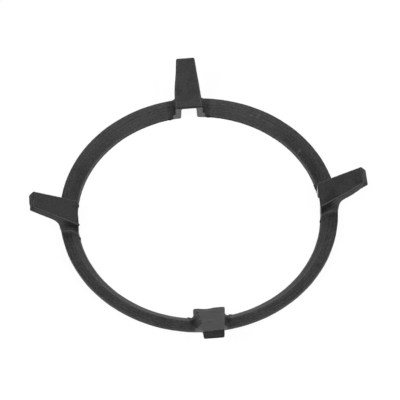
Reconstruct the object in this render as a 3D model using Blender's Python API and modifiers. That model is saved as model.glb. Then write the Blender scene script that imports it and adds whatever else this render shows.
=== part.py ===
"""Cast-iron wok stand for a gas hob: a low ring that carries claws around its edge.

The top of each claw slopes down towards the middle, so that a round-bottomed wok settles
between them. Under each claw a notch runs right through the ring and drops over one bar of
the hob's pan support, and two short legs stand either side of that bar. The whole stand is
one casting.

Lengths are in metres and Z is up. The origin is the ring's centre, on the plane that the
stand rests on. The first claw points along +X.
"""

from math import acos, ceil, cos, pi, radians, sin, sqrt, tan

import bmesh
import bpy
from mathutils import Matrix, Vector

# Ring section
RING_OUTER_RADIUS = 0.1020
RING_WIDTH = 0.0130
RING_HEIGHT = 0.0080
RIM_WIDTH = 0.0063            # level top, from the outer wall in to the crease
LIP_HEIGHT = 0.0027           # steep inner lip below the slope
LIP_LEAN = 0.0015             # how far the lip leans outwards over its height
OUTER_FOOT_RADIUS = 0.0047    # rounding under the outer wall
CREASE_RADIUS = 0.0010        # rounding where the rim turns into the slope, and over the lip
RING_STEPS = 120

# Claws
CLAW_COUNT = 4
CLAW_PROUD = 0.0006           # how far the claw's inner face stands in from the ring's inside
CLAW_FACE_LEAN = 0.0008       # how much farther out that face is at its foot
CLAW_REACH = 0.0305           # sloping top, measured along the ground
CLAW_SLOPE = radians(35.5)
CLAW_INNER_WIDTH = 0.0214
CLAW_TIP_WIDTH = 0.0139
CLAW_DEPTH = 0.0073           # upright thickness of the arm
NOSE_LENGTH = 0.0039          # slanted end beyond the sloping top
NOSE_FOOT_RADIUS = 0.0008
ROOT_PROUD = 0.0003           # from the ring's outer wall out to the claw's root
UNDERARM_RADIUS = 0.0130
SKIRT_WIDTH = 0.0050          # fillet from a claw's side down onto the ring
SKIRT_HEIGHT = 0.0048
SKIRT_BULGE = 0.0007          # how far the fillet swells past the ring's outer wall

# Notch over a bar of the pan support
NOTCH_HEIGHT = 0.0125
NOTCH_MOUTH_WIDTH = 0.0131
NOTCH_CROWN_WIDTH = 0.0115
NOTCH_CORNER_RADIUS = 0.0012
CLAW_LIP = 0.0014             # iron left between the notch and the claw's inner edge

# Casting
CAST_EDGE_RADIUS = 0.0006
ARC_STEP = radians(20)        # largest turn between two points of a rounded corner
SKIRT_STEPS = 5
FILLET_SINK = 0.0001          # how far a fillet's feathered edges dive into the iron
OVERLAP = 0.0015              # how far joined shapes run into each other
WELD_DISTANCE = 0.00001
CUT_MARGIN = 0.0040           # how far a cutter runs past what it cuts
GRID = 6                      # decimals kept of an outline's points, so that level stays level

RING_INNER_RADIUS = RING_OUTER_RADIUS - RING_WIDTH
RIM_CREASE = RING_OUTER_RADIUS - RIM_WIDTH
CLAW_FACE = RING_INNER_RADIUS - CLAW_PROUD
CLAW_FOOT = CLAW_FACE + CLAW_FACE_LEAN
CLAW_INNER_HEIGHT = NOTCH_HEIGHT + CLAW_LIP
CLAW_TIP = CLAW_FACE + CLAW_REACH
CLAW_TIP_HEIGHT = CLAW_INNER_HEIGHT + CLAW_REACH * tan(CLAW_SLOPE)
ROOT_WALL = RING_OUTER_RADIUS + ROOT_PROUD


def rounded(corners):
    """Points of a closed outline whose corners (x, z, radius) are turned into arcs."""
    points = []
    for index, (x, z, radius) in enumerate(corners):
        corner = Vector((x, z))
        back = (Vector(corners[index - 1][:2]) - corner).normalized()
        ahead = (Vector(corners[(index + 1) % len(corners)][:2]) - corner).normalized()
        if radius == 0:
            points.append(corner)
            continue
        opening = acos(max(-1.0, min(1.0, back.dot(ahead))))
        centre = corner + (back + ahead).normalized() * radius / sin(opening / 2)
        start = corner + back * radius / tan(opening / 2) - centre
        turn = (pi - opening) * (1 if back.cross(ahead) < 0 else -1)
        steps = max(1, ceil(abs(turn) / ARC_STEP))
        for step in range(steps + 1):
            angle = turn * step / steps
            points.append(centre + Matrix.Rotation(angle, 2) @ start)
    return [Vector((round(x, GRID), round(z, GRID))) for x, z in points]


def add_object(name, mesh, collection):
    part = bpy.data.objects.new(name, mesh)
    collection.objects.link(part)
    return part


def hide_tool(tool):
    tool.hide_render = True
    tool.display_type = "WIRE"


def evaluated_mesh(part):
    """A plain mesh of an object with its modifiers done and its caps welded on."""
    bpy.context.view_layer.update()
    graph = bpy.context.evaluated_depsgraph_get()
    mesh = bpy.data.meshes.new_from_object(part.evaluated_get(graph))
    shape = bmesh.new()
    shape.from_mesh(mesh)
    bmesh.ops.remove_doubles(shape, verts=shape.verts, dist=1e-6)
    bmesh.ops.dissolve_limit(
        shape, angle_limit=radians(0.5), verts=shape.verts, edges=shape.edges
    )
    shape.to_mesh(mesh)
    shape.free()
    return mesh


def slab(name, outline, half_thickness, collection):
    """A flat outline given thickness, lying in its own XY plane."""
    curve = bpy.data.curves.new(name, "CURVE")
    curve.dimensions = "2D"
    curve.fill_mode = "BOTH"
    curve.extrude = half_thickness
    spline = curve.splines.new("POLY")
    spline.points.add(len(outline) - 1)
    for point, (x, y) in zip(spline.points, outline):
        point.co = (x, y, 0, 1)
    spline.use_cyclic_u = True
    guide = add_object(name + "_outline", curve, collection)
    mesh = evaluated_mesh(guide)
    bpy.data.objects.remove(guide)
    return add_object(name, mesh, collection)


def join_shapes(part, tool, operation):
    boolean = part.modifiers.new(operation.title() + " " + tool.name, "BOOLEAN")
    boolean.operation = operation
    boolean.solver = "EXACT"
    boolean.object = tool


def weld(part):
    """Merges the points that a Boolean leaves almost on top of each other."""
    modifier = part.modifiers.new("Weld", "WELD")
    modifier.merge_threshold = WELD_DISTANCE


def claw_half_width(x):
    """Half the claw's width at a distance from the ring's centre: the sides taper evenly."""
    taper = (CLAW_TIP_WIDTH - CLAW_INNER_WIDTH) / CLAW_REACH
    return (CLAW_INNER_WIDTH + taper * (x - CLAW_FACE)) / 2


def make_ring(collection):
    """The ring, turned from its section, outer wall first and downwards."""
    section = rounded([
        (RING_OUTER_RADIUS, RING_HEIGHT, CAST_EDGE_RADIUS),
        (RING_OUTER_RADIUS, 0, OUTER_FOOT_RADIUS),
        (RING_INNER_RADIUS, 0, CAST_EDGE_RADIUS),
        (RING_INNER_RADIUS + LIP_LEAN, LIP_HEIGHT, CREASE_RADIUS),
        (RIM_CREASE, RING_HEIGHT, CREASE_RADIUS),
    ])
    count = len(section)
    mesh = bpy.data.meshes.new("wok_stand")
    mesh.from_pydata(
        [(x, 0, z) for x, z in section],
        [(index, (index + 1) % count) for index in range(count)],
        [],
    )
    ring = add_object("wok_stand", mesh, collection)
    screw = ring.modifiers.new("Turn the section", "SCREW")
    screw.steps = RING_STEPS
    screw.render_steps = RING_STEPS
    screw.use_merge_vertices = True
    screw.merge_threshold = 1e-6
    return ring


def make_arm(collection):
    """One claw seen from the side, given a width that tapers towards its tip."""
    nose = CLAW_TIP + NOSE_LENGTH
    underside_slope = tan(CLAW_SLOPE)
    nose_foot = CLAW_TIP_HEIGHT - CLAW_DEPTH + NOSE_LENGTH * underside_slope
    underarm_height = nose_foot - (nose - ROOT_WALL) * underside_slope
    buried_height = RING_HEIGHT - OVERLAP
    outline = rounded([
        (CLAW_FOOT, 0, 0),
        (ROOT_WALL - buried_height, 0, 0),
        (ROOT_WALL, buried_height, 0),
        (ROOT_WALL, underarm_height, UNDERARM_RADIUS),
        (nose, nose_foot, NOSE_FOOT_RADIUS),
        (CLAW_TIP, CLAW_TIP_HEIGHT, 0),
        (CLAW_FACE, CLAW_INNER_HEIGHT, 0),
    ])
    arm = slab("claw", outline, 1, collection)
    arm.data.transform(Matrix(((1, 0, 0, 0), (0, 0, -1, 0), (0, 1, 0, 0), (0, 0, 0, 1))))
    for vertex in arm.data.vertices:
        vertex.co.y *= claw_half_width(vertex.co.x)
    edges = arm.modifiers.new("Cast edges", "BEVEL")
    edges.width = CAST_EDGE_RADIUS
    edges.segments = 2
    edges.limit_method = "ANGLE"
    edges.angle_limit = radians(30)
    return arm


def skirt_section(share):
    """The ring's skin swollen by a share of the fillet's height, as (distance, height)."""
    swell = SKIRT_HEIGHT * share - FILLET_SINK
    bulge = SKIRT_BULGE * share - FILLET_SINK
    edge = CAST_EDGE_RADIUS
    crease = Vector((RIM_CREASE, RING_HEIGHT))
    lip = Vector((RING_INNER_RADIUS + LIP_LEAN, LIP_HEIGHT))
    upward = Vector((0, 1))
    inward = Vector((-1, 0))
    slope = crease - lip
    off_slope = Vector((-slope.y, slope.x)).normalized()
    face = CLAW_FOOT + FILLET_SINK
    crease += (upward + off_slope) / (1 + upward.dot(off_slope)) * swell
    lip += (inward + off_slope) / (1 + inward.dot(off_slope)) * swell
    if lip.x < face:
        lip = crease.lerp(lip, (crease.x - face) / (crease.x - lip.x))
    return [
        Vector((RING_OUTER_RADIUS + bulge - edge, RING_HEIGHT + swell)),
        crease,
        lip,
        Vector((max(RING_INNER_RADIUS - swell, face), 0)),
        Vector((RING_OUTER_RADIUS - OUTER_FOOT_RADIUS - OVERLAP, 0)),
        Vector((RING_OUTER_RADIUS - FILLET_SINK, OUTER_FOOT_RADIUS)),
        Vector((RING_OUTER_RADIUS + bulge, RING_HEIGHT - edge)),
    ]


def make_skirt(side, collection):
    """The fillet between one side of a claw and the ring, lofted over the ring's skin."""
    stations = [(-OVERLAP, 1)]
    for step in range(SKIRT_STEPS + 1):
        angle = pi / 2 * (1 - step / SKIRT_STEPS)
        stations.append((SKIRT_WIDTH * (1 - sin(angle)) - FILLET_SINK, 1 - cos(angle)))
    shape = bmesh.new()
    loops = []
    for spread, share in stations:
        loop = []
        for distance, height in skirt_section(share):
            offset = claw_half_width(distance) + spread
            along = max(sqrt(distance ** 2 - offset ** 2), CLAW_FOOT + FILLET_SINK)
            if spread < 0:
                along = min(along, ROOT_WALL - FILLET_SINK)
            loop.append(shape.verts.new((along, side * offset, height)))
        loops.append(loop)
    for near, far in zip(loops, loops[1:]):
        for index in range(len(near)):
            shape.faces.new((near[index - 1], near[index], far[index], far[index - 1]))
    shape.faces.new(loops[0])
    shape.faces.new(loops[-1])
    bmesh.ops.recalc_face_normals(shape, faces=shape.faces)
    mesh = bpy.data.meshes.new("skirt")
    shape.to_mesh(mesh)
    shape.free()
    return add_object("skirt_left" if side > 0 else "skirt_right", mesh, collection)


def make_notch(collection):
    """The notch's front view, run along the claw from inside the ring to outside it."""
    outline = rounded([
        (-NOTCH_MOUTH_WIDTH / 2, 0, 0),
        (NOTCH_MOUTH_WIDTH / 2, 0, 0),
        (NOTCH_CROWN_WIDTH / 2, NOTCH_HEIGHT, NOTCH_CORNER_RADIUS),
        (-NOTCH_CROWN_WIDTH / 2, NOTCH_HEIGHT, NOTCH_CORNER_RADIUS),
    ])
    start = CLAW_FACE - CUT_MARGIN
    end = RING_OUTER_RADIUS + CUT_MARGIN
    notch = slab("notch", outline, (end - start) / 2, collection)
    for vertex in notch.data.vertices:
        if vertex.co.y == 0:
            vertex.co.y = -CUT_MARGIN
    to_claw = Matrix(((0, 0, 1, (start + end) / 2), (1, 0, 0, 0), (0, 1, 0, 0), (0, 0, 0, 1)))
    notch.data.transform(to_claw)
    return notch


def place_around(tool, angle):
    """A copy of a claw's shape, turned about the ring's axis and sharing its mesh."""
    copy = tool.copy()
    copy.rotation_euler.z = angle
    tool.users_collection[0].objects.link(copy)
    hide_tool(copy)
    return copy


def cast_iron():
    material = bpy.data.materials.new("cast_iron")
    material.use_nodes = True
    shader = material.node_tree.nodes["Principled BSDF"]
    shader.inputs["Base Color"].default_value = (0.040, 0.040, 0.041, 1)
    shader.inputs["Roughness"].default_value = 0.62
    shader.inputs["Metallic"].default_value = 0.0
    return material


def make_wok_stand(parts, tools):
    stand = make_ring(parts)
    arm = make_arm(tools)
    for side in (1, -1):
        skirt = make_skirt(side, tools)
        hide_tool(skirt)
        join_shapes(arm, skirt, "UNION")
        weld(arm)
    claw = add_object("claw_with_skirts", evaluated_mesh(arm), tools)
    notch = make_notch(tools)
    turns = [2 * pi * index / CLAW_COUNT for index in range(CLAW_COUNT)]
    for angle in turns:
        join_shapes(stand, place_around(claw, angle), "UNION")
    for angle in turns:
        join_shapes(stand, place_around(notch, angle), "DIFFERENCE")
    weld(stand)
    for tool in (arm, claw, notch):
        hide_tool(tool)
    mesh = evaluated_mesh(stand)
    stand.modifiers.clear()
    stand.data = mesh
    mesh.shade_smooth()
    mesh.set_sharp_from_angle(angle=radians(35))
    mesh.materials.clear()
    mesh.materials.append(cast_iron())
    return stand


def main():
    for leftover in list(bpy.data.objects):
        bpy.data.objects.remove(leftover)
    parts = bpy.data.collections.new("wok_stand")
    tools = bpy.data.collections.new("cutters")
    for collection in (parts, tools):
        bpy.context.scene.collection.children.link(collection)
    make_wok_stand(parts, tools)


main()
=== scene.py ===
import math

import bmesh
import bpy
from mathutils import Matrix, Vector, noise


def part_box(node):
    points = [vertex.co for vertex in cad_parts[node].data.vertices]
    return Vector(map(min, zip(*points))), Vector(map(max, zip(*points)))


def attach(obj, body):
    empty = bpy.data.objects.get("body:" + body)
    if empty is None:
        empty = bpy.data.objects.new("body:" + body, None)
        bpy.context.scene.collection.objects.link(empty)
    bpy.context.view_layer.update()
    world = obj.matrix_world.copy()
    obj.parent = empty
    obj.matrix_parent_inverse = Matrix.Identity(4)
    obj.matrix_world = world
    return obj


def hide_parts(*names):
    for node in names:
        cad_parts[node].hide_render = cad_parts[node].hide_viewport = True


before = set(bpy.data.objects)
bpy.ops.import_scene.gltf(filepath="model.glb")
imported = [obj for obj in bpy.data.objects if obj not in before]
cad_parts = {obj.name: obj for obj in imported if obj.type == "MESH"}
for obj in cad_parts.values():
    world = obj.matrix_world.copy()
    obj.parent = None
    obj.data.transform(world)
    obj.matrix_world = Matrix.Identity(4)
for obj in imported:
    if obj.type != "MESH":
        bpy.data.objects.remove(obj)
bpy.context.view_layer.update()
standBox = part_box("wok_stand")
print("frame loaded")


# camera, fitted to the photograph, whose frame is taken as 400 x 400 pixels
view = {
    "distance": 1.2291,
    "elevation": 56.34,       # degrees above the floor
    "swing": -4.37,           # degrees around the stand, from straight in front
    "roll": 0.557,            # degrees
    "focalPixels": 1664.8,
    "centre": (198.95, 214.27),         # where the ring's centre falls, in pixels
    "frame": 400,
    "sensor": 36,             # millimetres
    "nearest": 0.01,          # metres
}


def makeCamera():
    lift = math.radians(view["elevation"])
    turn = Matrix.Rotation(math.radians(view["swing"]), 3, "Z")
    back = turn @ Vector((0, -math.cos(lift), math.sin(lift)))
    up = turn @ Vector((0, math.sin(lift), math.cos(lift)))
    right = turn @ Vector((1, 0, 0))
    roll = Matrix.Rotation(math.radians(view["roll"]), 3, back)
    place = Matrix((roll.inverted() @ right, roll.inverted() @ up, back)).transposed().to_4x4()
    place.translation = back * view["distance"]
    lens = bpy.data.cameras.new("camera")
    lens.sensor_width = view["sensor"]
    lens.lens = view["focalPixels"] * lens.sensor_width / view["frame"]
    lens.shift_x = (view["frame"] / 2 - view["centre"][0]) / view["frame"]
    lens.shift_y = (view["centre"][1] - view["frame"] / 2) / view["frame"]
    lens.clip_start = view["nearest"]
    camera = bpy.data.objects.new("camera", lens)
    bpy.context.scene.collection.objects.link(camera)
    camera.matrix_world = place
    bpy.context.scene.camera = camera


# shader values: sums on them add Math nodes
class Value:
    def __init__(self, finish, socket):
        self.finish = finish
        self.socket = socket

    def maths(self, operation, *terms):
        return self.finish.node(
            "ShaderNodeMath", {"operation": operation}, dict(enumerate(terms)))

    def __add__(self, other):
        return self.maths("ADD", self, other)

    def __sub__(self, other):
        return self.maths("SUBTRACT", self, other)

    def __rsub__(self, other):
        return self.maths("SUBTRACT", other, self)

    def __mul__(self, other):
        return self.maths("MULTIPLY", self, other)

    def __truediv__(self, other):
        return self.maths("DIVIDE", self, other)

    def __abs__(self):
        return self.maths("ABSOLUTE", self)

    def held(self):
        # kept from 0 to 1
        return self.finish.node(
            "ShaderNodeClamp", {}, {"Value": self, "Min": 0.0, "Max": 1.0})

    __radd__ = __add__
    __rmul__ = __mul__


class Finish:
    def __init__(self, owner, output="ShaderNodeOutputMaterial"):
        # owner is a material, or a world with its own output
        self.owner = owner
        owner.use_nodes = True
        self.tree = owner.node_tree
        self.tree.nodes.clear()
        self.output = self.tree.nodes.new(output)

    def node(self, kind, settings, feeds, output=0):
        made = self.tree.nodes.new(kind)
        for name, value in settings.items():
            setattr(made, name, value)
        for name, value in feeds.items():
            if isinstance(value, Value):
                self.tree.links.new(value.socket, made.inputs[name])
            else:
                made.inputs[name].default_value = value
        return Value(self, made.outputs[output])

    def attribute(self, name):
        return self.node("ShaderNodeAttribute", {"attribute_name": name}, {}, "Fac")

    def noise(self, size, detail, roughness):
        # size is that of the spots, in metres
        return self.node("ShaderNodeTexNoise", {}, {
            "Vector": self.node("ShaderNodeTexCoord", {}, {}, "Object"),
            "Scale": 1 / size, "Detail": detail, "Roughness": roughness})

    def stripes(self, at, size, detail, roughness):
        return self.node("ShaderNodeTexNoise", {"noise_dimensions": "1D"}, {
            "W": at, "Scale": 1 / size, "Detail": detail, "Roughness": roughness})

    def mix(self, share, colour, other):
        # 0, 6 and 7 are a colour mix's factor and its two colours, and 2 is its result
        return self.node(
            "ShaderNodeMix", {"data_type": "RGBA"}, {0: share, 6: colour, 7: other}, 2)

    def seen(self):
        # 1 where the camera looks, straight or by way of metal or glass
        camera, glossy, glass = [
            self.node("ShaderNodeLightPath", {}, {}, ray)
            for ray in ("Is Camera Ray", "Is Glossy Ray", "Is Transmission Ray")]
        return (camera + glossy + glass).held()

    def surface(self, shader):
        self.tree.links.new(shader.socket, self.output.inputs["Surface"])
        return self.owner


castFinish = {
    "dark": (0.006, 0.006, 0.0061, 1),
    "light": (0.050, 0.050, 0.0505, 1),
    "glintAndWear": (0.14, 0.14, 0.141, 1),     # painted highlight along the claws' edges, with some wear
    "paleAndSheen": (0.60, 0.60, 0.60, 1),      # pale faces of the legs and flecks, and painted highlights on the ring's lip and rim edge
    "plainTone": 0.44,        # between dark and light, where nothing else is said
    # patterns: size of the spots in metres, detail and roughness
    "grain": (0.0011, 3.0, 0.6),
    "sand": (0.00028, 1.0, 0.5),
    "blotch": (0.018, 4.0, 0.55),
    "streak": (0.0013, 2.0, 0.5),       # across the streaks, around the ring and along claws
    "streakWander": 0.004,    # how far blotches push the streaks aside
    # how much each pattern changes the tone, and what is added on the ring
    "grainContrast": 1.3,
    "ringGrainContrast": 0.8,
    "blotchContrast": 0.8,
    "streakContrast": 0.8,
    "ringStreakContrast": 0.3,
    "clawStreaks": 0.15,      # from here up, streakAt is a claw's
    "ringSharpness": 100,
    # painted highlight lines on the top's edges, with some wear
    "edgeWidth": 0.0004,
    "edgeReach": 1.3,         # widths from its middle at which a line ends
    "shadeUnderEdge": 0.0009,      # from a light edge to the painted shade line beside it
    "shadeUnderEdgeTone": 0.6,
    # shares of the glint-and-wear and the pale colour, and how much the speckle changes them
    "glintAndWearShare": (0.9, 1.5),
    "paleAndSheenShare": (0.8, 1.2),
    "roughness": 0.50,
    "blotchRoughness": 0.2,
    "sandRoughness": 0.15,
    "shadeRoughness": 0.35,    # added where the shade is darkest, which is mostly painted shade
    "specular": 0.18,
    "bumpDepth": 0.00012,
    "bumpShares": (0.7, 0.3, 0.5),      # of the grain, the sand and the streaks
}


def makeCastFinish():
    finish = Finish(bpy.data.materials.new("castIron"))
    grain, sand, blotch = [
        finish.noise(*castFinish[name]) for name in ("grain", "sand", "blotch")]
    shade, paleAndSheen, glintAndWear, edge, streakAt = [
        finish.attribute(name) for name in ("shade", "paleAndSheen", "glintAndWear", "edge", "streakAt")]
    streak = finish.stripes(
        streakAt + blotch * castFinish["streakWander"], *castFinish["streak"])
    ring = ((castFinish["clawStreaks"] - streakAt) * castFinish["ringSharpness"]).held()
    speckle = (grain - 0.5) * (
        castFinish["grainContrast"] + ring * castFinish["ringGrainContrast"])
    tone = castFinish["plainTone"] + (blotch - 0.5) * castFinish["blotchContrast"]
    # the shade attribute brings painted light and shade into the tone
    tone = tone + speckle + shade
    tone = tone + (streak - 0.5) * (
        castFinish["streakContrast"] + ring * castFinish["ringStreakContrast"])
    # a painted highlight line along the top's edges, with some wear
    onEdge = abs(edge) / castFinish["edgeWidth"]
    onEdge = (castFinish["edgeReach"] - onEdge).held() * glintAndWear
    # painted shade in a line beside the light edge
    shadeUnderEdge = abs(edge + castFinish["shadeUnderEdge"]) / castFinish["edgeWidth"]
    shadeUnderEdge = (castFinish["edgeReach"] - shadeUnderEdge).held() * glintAndWear
    tone = tone - shadeUnderEdge * castFinish["shadeUnderEdgeTone"]
    colour = finish.mix(tone.held(), castFinish["dark"], castFinish["light"])
    share, change = castFinish["glintAndWearShare"]
    colour = finish.mix((onEdge * (share + speckle * change)).held(), colour, castFinish["glintAndWear"])
    share, change = castFinish["paleAndSheenShare"]
    # pale leg faces and flecks, and painted highlights on the ring's lip and rim edge
    colour = finish.mix((paleAndSheen * (share + speckle * change)).held(), colour, castFinish["paleAndSheen"])
    rough = castFinish["roughness"] + (blotch - 0.5) * castFinish["blotchRoughness"]
    rough = rough + (sand - 0.5) * castFinish["sandRoughness"]
    rough = rough + (0 - shade).held() * castFinish["shadeRoughness"]
    ofGrain, ofSand, ofStreak = castFinish["bumpShares"]
    bump = finish.node("ShaderNodeBump", {}, {
        "Strength": 1.0,
        "Distance": castFinish["bumpDepth"],
        "Height": grain * ofGrain + sand * ofSand + streak * ofStreak,
    })
    return finish.surface(finish.node("ShaderNodeBsdfPrincipled", {}, {
        "Base Color": colour,
        "Roughness": rough.held(),
        "Specular IOR Level": castFinish["specular"],
        "Normal": bump,
    }))


castSkin = {
    "mergeDistance": 1e-6,
    "voxel": 0.00045,         # cell that the skin is remade from
    "smoothPasses": 1,
    "smoothShare": 0.5,
    "mostFaces": 190000,      # triangles kept
    "rippleSize": 0.011,      # slow unevenness of the casting
    "rippleDepth": 0.00012,
    "pebbleSize": 0.0022,     # sand marks
    "pebbleDepth": 0.00005,
    "pebbleOffset": (7, 3, 1),          # so that they don't follow the ripples
    # the skin is pushed out to meet the photograph's outline, and so stands about this far
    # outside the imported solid's faces, which are a little too thin for it
    "swell": 0.00015,
}

# places are along a claw, across it and up, in metres, and turns are the claws' own, in degrees
turns = {"right": 0, "back": 90, "left": 180, "front": 270}

nibs = {
    "along": 0.0889,          # left by the mould, inside the ring on both sides of each claw
    "across": {"right": 0.0153, "back": 0.0147, "left": 0.0147, "front": 0.0147},
    "height": 0.0010,
    "halfSize": (0.0012, 0.0019, 0.0013),
    "darkRadius": 0.0020,
    "shade": -0.35,
    "cuts": 2,                # of the ball that each is made from
}

flash = [
    # claw, place, radius
    ("left", (0.0884, 0.0103, 0.0132), 0.0008),
    ("back", (0.0886, -0.0102, 0.0134), 0.0005),
    ("right", (0.0880, 0.0162, 0.0026), 0.0010),
]

dents = [
    # claw, place, radius, depth, and a depth below zero is a bump
    ("left", (0.1226, 0.0040, 0.0315), 0.0038, 0.0005),
    ("left", (0.0890, -0.0010, 0.0137), 0.0050, 0.0003),
    ("front", (0.1062, -0.0014, 0.0266), 0.0032, -0.0003),
    ("front", (0.1210, 0.0050, 0.0332), 0.0010, 0.0004),
    ("front", (0.0886, -0.0020, 0.0139), 0.0070, 0.0006),
    ("right", (0.0783, 0.0479, 0.0041), 0.0011, -0.0004),
    ("back", (0.1222, 0.0064, 0.0338), 0.0020, 0.0004),
    ("back", (0.1222, -0.0064, 0.0338), 0.0022, 0.0005),
]

# a fleck on the ring's slope, and light spots in a row beside it
flecks = [
    # place, radius, and how pale
    ((0.0810, 0.0481, 0.0065), 0.0008, 0.10),
    ((0.0804, 0.0477, 0.0057), 0.0008, 0.12),
    ((0.0798, 0.0473, 0.0050), 0.0008, 0.12),
    ((0.0788, 0.0462, 0.0036), 0.0008, 0.08),
    ((0.0472, 0.0822, 0.0072), 0.0009, 0.06),
    ((0.0514, 0.0798, 0.0072), 0.0009, 0.06),
    ((0.0531, 0.0809, 0.0080), 0.0008, 0.05),
    ((0.0553, 0.0767, 0.0069), 0.0010, 0.05),
    ((0.0594, 0.0739, 0.0071), 0.0009, 0.055),
    ((0.0618, 0.0714, 0.0068), 0.0009, 0.04),
]

# sand holes along one edge of the front claw, a little deeper than the skin, with painted shade
# in them
pits = {
    "claw": "front",
    "places": [(0.0946, -0.0092, 0.0183), (0.0980, -0.0090, 0.0207), (0.1006, -0.0088, 0.0225),
               (0.1051, -0.0083, 0.0256), (0.1080, -0.0079, 0.0275)],
    "radius": 0.0010,
    "depth": 0.0009,
    "shade": -1.5,
}

pushes = [
    # claw, place, radius, and how far the skin there is moved: along, across and up
    ("back", (0.1010, 0.0105, 0.0205), 0.0140, (0, 0.0006, 0)),
    ("front", (0.0900, -0.0112, 0.0100), 0.0110, (0, -0.0010, 0)),
    ("front", (0.1215, -0.0065, 0.0325), 0.0060, (0, -0.0006, 0)),
    ("front", (0.1215, 0.0065, 0.0325), 0.0060, (0, 0.0003, 0)),
    ("right", (0.1090, -0.0080, 0.0240), 0.0100, (0, -0.0006, -0.0005)),
]

bends = {
    # claw: how far it sits sideways at its root and at its tip, and the tip down
    "back": (0.0000, 0.0003, 0.0000),
    "left": (0.0000, 0.0002, 0.0000),
    "front": (0.0000, 0.0005, 0.0005),
    "right": (0.0001, 0.0005, 0.0000),
}

# where a bend starts, along, across and up, and over how much further it grows to full
bendReach = [(0.0850, 0.0030), (0.0150, -0.0040), (0.0030, 0.0080)]

# a claw's surroundings: along from the first number, and across as far as the second
clawZones = {
    "moved": (0.0780, 0.0260),
    "shaded": (0.0870, 0.0160),
}

# a claw's top, with places as along, half its width and up
clawTop = {
    "root": (0.0884, 0.0107, 0.0139),
    "tip": (0.1189, 0.0069, 0.03565),
    "facing": 0.5,            # least that its normal points up, or a side's points aside
    "margin": 0.0003,         # past its edges, and past the tip, that still counts as top
    "depth": 0.0008,          # and below it
    "rootLine": 0.0005,       # width of the painted shade line at the root
    "rootLineReach": 1.5,     # widths at which that line ends
    "rootLineTone": 0.6,
    "glintAndWearLoss": 0.35,         # share of the edge's painted highlight and wear that is gone at the tip
    "nose": 0.1192,           # along, where the nose starts and ends
    "noseEnd": 0.1226,
    "noseBand": 0.0014,       # from either of them to the band's middle, twice
    "noseTones": (1.4, 0.9),  # share of its shade at its ends, and what the band takes off
}

clawSide = {
    "margin": 0.0015,         # past the top's half width
    "from": 0.0110,           # up
    "root": (0.1000, -0.0050),          # along, where the painted shade at the root starts, and to full
}

# how the skin is shaded, with what is across below zero first, and then what is above:
# painted highlight and wear on the top's edge, how far in from the edge its light line runs,
# painted light and shade on the top, the side, the root and the nose, pale leg faces, and painted
# shade in the hollow of the fillet with its place across at the top and at the foot, and a
# painted highlight on its fold;
# set by grey levels, so they also hold some of the photograph's light and shade
shades = {
    "right": {"edgeGlintAndWear": (0.8, 0.35), "inset": (0, 0.0009), "top": -0.03, "side": (0.45, 0.2),
              "root": -0.5, "nose": 0.0, "legs": (0.22, 1.0),
              "hollow": -0.1, "hollowAt": (0.0114, 0.0118), "fold": (0.9, 0.0)},
    "back": {"edgeGlintAndWear": (0.35, 0.35), "inset": (0.0009, 0.0009), "top": 0.10, "side": (0.0, 0.2),
             "root": -0.3, "nose": -0.2, "legs": (0.22, 0.22),
             "hollow": -0.15, "hollowAt": (0.0116, 0.0134), "fold": (0.0, 0.0)},
    "left": {"edgeGlintAndWear": (0.3, 0.8), "inset": (0.0009, 0), "top": -0.10, "side": (0.1, 0.15),
             "root": -0.45, "nose": -0.2, "legs": (0.22, 0.22),
             "hollow": -0.1, "hollowAt": (0.0114, 0.0118), "fold": (0.0, 0.9)},
    "front": {"edgeGlintAndWear": (0.7, 0.4), "inset": (0, 0.0009), "top": 0.0, "side": (0.45, 0.3),
              "root": 0.0, "nose": -0.5, "legs": (0.25, 0.25),
              "hollow": -0.55, "hollowAt": (0.0122, 0.0134), "fold": (0.0, 0.0)},
}

# marks of skin that is on no edge, and of a claw's streaks, which follow its edges
plainMarks = {
    "edge": 0.01,
    "clawStreak": 0.2,
}

legFaces = {
    "inner": 0.0899,          # as far out as the legs' inner faces reach
    "outer": 0.1005,          # and as far in as their outer faces
    "across": 0.0102,         # at the top, and at the foot
    "acrossFoot": 0.0126,
    "height": 0.0132,
    "facing": 0.75,
    "outerShare": 0.7,
}

fillets = {
    "halfWidth": 0.0020,      # of the painted shade in the hollow on each side of a claw
    "fold": 0.0119,           # across, where the hollow flattens out into the ring
    "foldHalfWidth": 0.0004,
    "firmness": 1.5,
    "low": (0.0020, 0.001),   # where each end fades, and over how much
    "high": (0.0115, -0.002),
    "out": (0.1000, -0.003),
}

# the ring's surface, with radii, and with where a fade starts and over how much it runs
ringSkin = {
    "lip": (0.0883, 0.0005),
    "lipEnd": (0.0908, -0.0005),
    "lipFacing": (-0.3, 0.5),
    # degrees around from the right claw, and how strong the lip's painted highlight is there
    "paleAndSheen": [(0, 0.05), (15, 0.13), (33, 0.13), (48, 0.05), (65, 0.02), (110, 0.02), (122, 0.06),
             (148, 0.13), (165, 0.13), (180, 0.04), (200, 0.05), (330, 0.05), (360, 0.05)],
    "top": 0.0955,            # from here out, the level rim
    # how much lighter the slope and the rim are at the back, for light that the lamps don't give
    "backTones": (0.27, 0.33),
    "rim": 0.1012,            # from here out, the rim's outer edge
    "rimFacing": 0.3,
    # painted highlight on the rim's outer edge
    "rimHighlight": 0.012,
    # across a claw, from where the ring's own streaks run and its lip's painted highlight shows
    # again
    "streaksFrom": 0.0120,
    "ringHighlightFrom": (0.0140, 0.0020),
}


def onClaw(claw):
    return Matrix.Rotation(math.radians(turns[claw]), 3, "Z")


def nibPlaces():
    return [(claw, onClaw(claw) @ Vector(
                (nibs["along"], side * nibs["across"][claw], nibs["height"])))
            for claw in turns for side in (1, -1)]


def held(value):
    return max(0.0, min(1.0, value))


def ramp(value, start, over):
    # grows from 0 at the start to 1, upwards, or downwards where over is below zero
    return held((value - start) / over)


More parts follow.
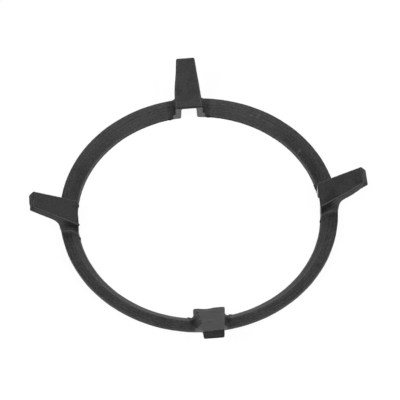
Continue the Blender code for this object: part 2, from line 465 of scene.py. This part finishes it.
def near(place, centre, radius):
    # 1 at the centre, and 0 from the radius out
    apart = (place - centre).length / radius
    return (1 - apart * apart) ** 2 if apart < 1 else 0.0


def between(value, stops):
    # the value's own place on a line through the stops
    for (at, level), (nextAt, nextLevel) in zip(stops, stops[1:]):
        if value <= nextAt:
            return level + (nextLevel - level) * (value - at) / (nextAt - at)
    return stops[-1][1]


def inZone(place, zone):
    along, across = clawZones[zone]
    return place.x > along and abs(place.y) < across


def mergedCopy(node):
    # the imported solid's triangles are loose, so a copy of them is merged first
    shape = bmesh.new()
    shape.from_mesh(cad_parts[node].data)
    bmesh.ops.remove_doubles(shape, verts=shape.verts, dist=castSkin["mergeDistance"])
    bmesh.ops.recalc_face_normals(shape, faces=shape.faces)
    return shape


def addNibs(shape):
    for claw, place in nibPlaces():
        size = Matrix.Diagonal(Vector((*nibs["halfSize"], 1)))
        bmesh.ops.create_icosphere(
            shape, subdivisions=nibs["cuts"], radius=1.0,
            matrix=Matrix.Translation(place) @ onClaw(claw).to_4x4() @ size)
    for claw, place, radius in flash:
        bmesh.ops.create_icosphere(
            shape, subdivisions=nibs["cuts"], radius=radius,
            matrix=Matrix.Translation(onClaw(claw) @ Vector(place)))


def modified(mesh, name, kind, settings):
    # the mesh as one modifier leaves it
    thing = bpy.data.objects.new(name, mesh)
    bpy.context.scene.collection.objects.link(thing)
    modifier = thing.modifiers.new(kind, kind)
    for setting, value in settings.items():
        setattr(modifier, setting, value)
    bpy.context.view_layer.update()
    graph = bpy.context.evaluated_depsgraph_get()
    result = bpy.data.meshes.new_from_object(thing.evaluated_get(graph))
    bpy.data.objects.remove(thing)
    return result


def remade(shape, name):
    # one closed skin around everything in the shape, of even small faces
    mesh = bpy.data.meshes.new(name)
    shape.to_mesh(mesh)
    shape.free()
    return modified(mesh, name, "REMESH", {"mode": "VOXEL", "voxel_size": castSkin["voxel"]})


def thinned(mesh, name):
    # fewer triangles where the skin is flat
    triangles = sum(len(face.vertices) - 2 for face in mesh.polygons)
    return modified(mesh, name, "DECIMATE", {
        "ratio": min(1.0, castSkin["mostFaces"] / triangles)})


def shift(claw, place):
    # how far the skin there is bent and pushed from the plain solid, in the claw's own directions
    root, tip, drop = bends[claw]
    share = ramp(place.x, nibs["along"], standBox[1][0] - nibs["along"])
    moved = Vector((0, root + (tip - root) * share, -drop * share))
    for value, (start, over) in zip((place.x, abs(place.y), place.z), bendReach):
        moved *= ramp(value, start, over)
    for on, centre, radius, push in pushes:
        if on == claw:
            moved += Vector(push) * near(place, Vector(centre), radius)
    return moved


def bendClaws(shape):
    # no two claws of a casting stand quite alike
    for claw in turns:
        away = onClaw(claw)
        back = away.inverted()
        for vert in shape.verts:
            place = back @ vert.co
            if inZone(place, "moved"):
                vert.co += away @ shift(claw, place)


def markDents(shape):
    shape.normal_update()
    holes = [(pits["claw"], place, pits["radius"], pits["depth"]) for place in pits["places"]]
    for claw, place, radius, depth in dents + holes:
        centre = onClaw(claw) @ Vector(place)
        for vert in shape.verts:
            vert.co -= vert.normal * depth * near(vert.co, centre, radius)


def roughen(shape):
    # cast iron is never quite flat: slow ripples and small sand marks, along the normals
    shape.normal_update()
    offset = Vector(castSkin["pebbleOffset"])
    moves = []
    for vert in shape.verts:
        ripple = noise.noise(vert.co / castSkin["rippleSize"])
        pebble = noise.noise(vert.co / castSkin["pebbleSize"] + offset)
        move = ripple * castSkin["rippleDepth"] + pebble * castSkin["pebbleDepth"]
        moves.append(move + castSkin["swell"])
    for vert, move in zip(shape.verts, moves):
        vert.co += vert.normal * move


def keepInBox(shape):
    low, high = standBox
    for vert in shape.verts:
        vert.co = [max(low[i], min(high[i], vert.co[i])) for i in range(3)]


# painted highlight on the ring there, on its lip and on the rim's outer edge
def paintedRingHighlight(vert):
    # how bare the ring is there
    radius = vert.co.xy.length
    if radius > ringSkin["rim"] and vert.normal.z > ringSkin["rimFacing"]:
        return ringSkin["rimHighlight"]
    around = math.degrees(math.atan2(vert.co.y, vert.co.x)) % 360
    lip = ramp(radius, *ringSkin["lip"]) * ramp(radius, *ringSkin["lipEnd"])
    return lip * ramp(vert.normal.z, *ringSkin["lipFacing"]) * between(around, ringSkin["paleAndSheen"])


def filletShade(look, side, place):
    # painted shade in the hollow beside a claw, and a painted highlight on the fold at its end
    across = abs(place.y)
    high = held(place.z / fillets["high"][0])
    middle = look["hollowAt"][1] + (look["hollowAt"][0] - look["hollowAt"][1]) * high
    firmness = fillets["firmness"]
    hollow = held(firmness * (1 - abs(across - middle) / fillets["halfWidth"]))
    hollow *= ramp(place.z, *fillets["high"])
    fold = held(firmness - abs(across - fillets["fold"]) / fillets["foldHalfWidth"])
    shade = look["hollow"] * hollow + look["fold"][side] * fold
    return shade * ramp(place.z, *fillets["low"]) * ramp(place.x, *fillets["out"])


def shadeClaw(claw, place, normal):
    # what a claw's skin is like there: painted light and shade, how pale, painted edge highlight
    # and wear, edge, and streakAt
    look = shades[claw]
    side = 1 if place.y > 0 else 0
    across = abs(place.y)
    root, tip = Vector(clawTop["root"]), Vector(clawTop["tip"])
    share = (place.x - root.x) / (tip.x - root.x)
    line = root.lerp(tip, max(0.0, share))
    slope = math.atan2(tip.z - root.z, tip.x - root.x)
    above = (line.z - place.z) * math.cos(slope)
    paleAndSheen, glintAndWear = 0.0, 0.0
    edge = min(line.y - across, tip.x + clawTop["margin"] - place.x) - above
    shade = filletShade(look, side, place)
    onTop = normal.z > clawTop["facing"] and above < clawTop["depth"]
    onSide = abs(normal.y) > clawTop["facing"] and place.z > clawSide["from"]
    if place.x > clawTop["nose"]:
        # painted shade on the nose, lighter in a band along its middle
        depth = min(place.x - clawTop["nose"], clawTop["noseEnd"] - place.x)
        atEnds, inBand = clawTop["noseTones"]
        shade = look["nose"] * (atEnds - inBand * held(2 * depth / clawTop["noseBand"]))
    elif onTop and across < line.y + clawTop["margin"]:
        # painted light and shade on the top, with painted shade along the root line
        rootLine = held(clawTop["rootLineReach"] - (place.x - root.x) / clawTop["rootLine"])
        shade = look["top"] - clawTop["rootLineTone"] * rootLine
        glintAndWear = look["edgeGlintAndWear"][side] * (1 - clawTop["glintAndWearLoss"] * held(share))
        edge -= look["inset"][side]
    elif onSide and across < line.y + clawSide["margin"]:
        # painted light on the side, with painted shade towards the root
        shade = look["side"][side] + look["root"] * ramp(place.x, *clawSide["root"])
        glintAndWear = look["edgeGlintAndWear"][side] * (1 - clawTop["glintAndWearLoss"] * held(share))
        edge -= look["inset"][side]
    wide = legFaces["across"]
    wide += (legFaces["acrossFoot"] - wide) * (1 - place.z / legFaces["height"])
    if place.z < legFaces["height"] and across < wide:
        if place.x < legFaces["inner"] and -normal.x > legFaces["facing"]:
            paleAndSheen, shade = look["legs"][side], 0.0
        elif place.x > legFaces["outer"] and normal.x > legFaces["facing"]:
            paleAndSheen, shade = look["legs"][side] * legFaces["outerShare"], 0.0
    return shade, paleAndSheen, glintAndWear, edge, plainMarks["clawStreak"] + min(edge, 0.0)


def marksOf(vert):
    # painted light and shade, how pale, painted edge highlight and wear, edge, and streakAt, for
    # a point of the ring or of a claw
    radius = vert.co.xy.length
    streakAt = radius + vert.co.z
    # painted light: the back half of the ring is made lighter
    behind = held(vert.co.y / radius) ** 2
    slopeTone, rimTone = ringSkin["backTones"]
    tone = behind * (rimTone if radius > ringSkin["top"] else slopeTone)
    marks = tone, paintedRingHighlight(vert), 0.0, plainMarks["edge"], streakAt
    for claw in turns:
        back = onClaw(claw).inverted()
        place = back @ vert.co
        if inZone(place, "shaded"):
            place -= shift(claw, place)
            marks = shadeClaw(claw, place, back @ vert.normal)
            if abs(place.y) > ringSkin["streaksFrom"]:
                paleAndSheen = paintedRingHighlight(vert) * ramp(abs(place.y), *ringSkin["ringHighlightFrom"])
                marks = marks[0], paleAndSheen, marks[2], marks[3], streakAt
    return marks


def markSkin(shape):
    shape.normal_update()
    layers = [shape.verts.layers.float.new(name)
              for name in ("shade", "paleAndSheen", "glintAndWear", "edge", "streakAt")]
    shadeLayer, paleAndSheenLayer = layers[:2]
    # painted shade in the pits and around the nibs
    dark = [(onClaw(pits["claw"]) @ Vector(place), pits["radius"], pits["shade"])
            for place in pits["places"]]
    dark += [(place, nibs["darkRadius"], nibs["shade"]) for claw, place in nibPlaces()]
    for vert in shape.verts:
        for layer, mark in zip(layers, marksOf(vert)):
            vert[layer] = mark
        for place, radius, paleAndSheen in flecks:
            if (vert.co - Vector(place)).length < radius:
                vert[paleAndSheenLayer] = paleAndSheen
        for place, radius, shade in dark:
            if (vert.co - place).length < radius:
                vert[shadeLayer] = shade
                vert[paleAndSheenLayer] = 0.0


def makeStand():
    cast = mergedCopy("wok_stand")
    addNibs(cast)
    skin = remade(cast, "cast_stand")
    shape = bmesh.new()
    shape.from_mesh(skin)
    for _ in range(castSkin["smoothPasses"]):
        bmesh.ops.smooth_vert(
            shape, verts=shape.verts, factor=castSkin["smoothShare"],
            use_axis_x=True, use_axis_y=True, use_axis_z=True)
    bendClaws(shape)
    markDents(shape)
    roughen(shape)
    shape.to_mesh(skin)
    shape.free()
    skin = thinned(skin, "cast_stand")
    shape = bmesh.new()
    shape.from_mesh(skin)
    keepInBox(shape)
    bmesh.ops.recalc_face_normals(shape, faces=shape.faces)
    markSkin(shape)
    shape.to_mesh(skin)
    shape.free()
    skin.shade_smooth()
    skin.materials.clear()
    skin.materials.append(makeCastFinish())
    stand = bpy.data.objects.new("cast_stand", skin)
    bpy.context.scene.collection.objects.link(stand)
    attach(stand, "root")
    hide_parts("wok_stand")
    print("stand cast:", len(skin.polygons), "faces")


studio = {
    "floorRadius": 3.0,
    "floorSides": 96,
    "floorWhite": 0.82,
    "cameraWhite": 1.06,      # what is seen of the open floor, where 1 is white
    "shadowShare": 0.12,      # how much of the floor's own light is seen
    "sky": 0.05,
    "softboxSize": 0.9,
    "softboxDistance": 2.0,
    # around from behind, clockwise, and up, in degrees, and watts, fitted to the photograph
    "softboxes": [
        (0, 8, 4.6),
        (0, 28, 7.1),
        (0, 50, 2.4),
        (45, 28, 3.0),
        (135, 28, 10.6),
        (120, 50, 6.5),
        (120, 72, 2.4),
        (180, 50, 2.4),
        (225, 28, 5.8),
        (240, 50, 13.2),
    ],
}


def makeFloor():
    finish = Finish(bpy.data.materials.new("whiteFloor"))
    white = studio["floorWhite"]
    paint = finish.node("ShaderNodeBsdfDiffuse", {}, {"Color": (white, white, white, 1)})
    glow = finish.node("ShaderNodeEmission", {}, {
        "Color": (1, 1, 1, 1), "Strength": studio["cameraWhite"]})
    shader = finish.node("ShaderNodeMixShader", {}, {
        0: finish.seen() * (1 - studio["shadowShare"]), 1: paint, 2: glow})
    shape = bmesh.new()
    bmesh.ops.create_circle(
        shape, cap_ends=True, radius=studio["floorRadius"], segments=studio["floorSides"])
    mesh = bpy.data.meshes.new("floor")
    shape.to_mesh(mesh)
    shape.free()
    mesh.materials.append(finish.surface(shader))
    floor = bpy.data.objects.new("floor", mesh)
    bpy.context.scene.collection.objects.link(floor)


def makeSoftbox(around, up, watts):
    lamp = bpy.data.lights.new("softbox", "AREA")
    lamp.shape = "DISK"
    lamp.size = studio["softboxSize"]
    lamp.energy = watts
    around, up = math.radians(around), math.radians(up)
    away = Vector((
        math.sin(around) * math.cos(up), math.cos(around) * math.cos(up), math.sin(up)))
    softbox = bpy.data.objects.new("softbox", lamp)
    bpy.context.scene.collection.objects.link(softbox)
    softbox.location = away * studio["softboxDistance"]
    softbox.rotation_euler = away.to_track_quat("Z", "Y").to_euler()


def makeSky():
    finish = Finish(bpy.data.worlds.new("sky"), "ShaderNodeOutputWorld")
    bpy.context.scene.world = finish.surface(finish.node("ShaderNodeBackground", {}, {
        "Color": (1, 1, 1, 1),
        "Strength": studio["sky"] + finish.seen() * (1 - studio["sky"]),
    }))


makeCamera()
makeStand()
makeFloor()
for around, up, watts in studio["softboxes"]:
    makeSoftbox(around, up, watts)
makeSky()
bpy.context.scene.view_settings.view_transform = "Standard"
print("studio lit")
